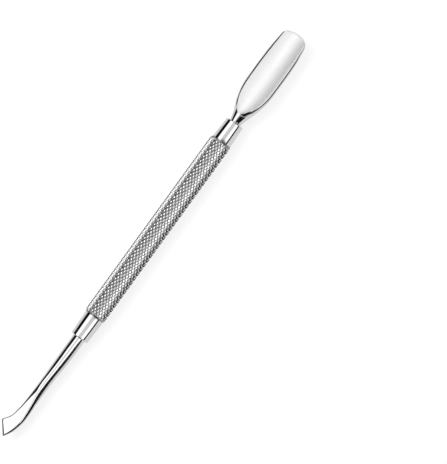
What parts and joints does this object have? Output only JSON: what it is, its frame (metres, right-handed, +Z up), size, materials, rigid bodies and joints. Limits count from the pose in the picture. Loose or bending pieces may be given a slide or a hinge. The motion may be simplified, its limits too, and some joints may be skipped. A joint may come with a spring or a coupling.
{
  "type": "cuticle pusher",
  "caption": "Double-ended steel cuticle pusher: a knurled round grip with a concave spoon-shaped pusher at one end and a skewed flat cleaner blade at the other.",
  "frame": {"origin": "centre of the bottom of the bounding box, on the surface the grip rests on", "axes": "+Y along the tool toward the spoon, +Z up out of the scoop, +X to the right of both"},
  "size_m": [0.0086, 0.127, 0.0061],
  "materials": {
    "knurled_steel": "diamond knurl with bright crests and slightly darker grooves",
    "polished_steel": "mirror-polished stainless steel",
    "satin_steel": "satin inside the scoop, polished outside",
    "ground_steel": "polished shank with a finely ground flat"
  },
  "bodies": {
    "root": {"handle_tube": "knurled_steel", "spoon_ferrule": "polished_steel", "blade_ferrule": "polished_steel", "spoon_pusher": "satin_steel", "blade_cleaner": "ground_steel"}
  },
  "joints": []
}
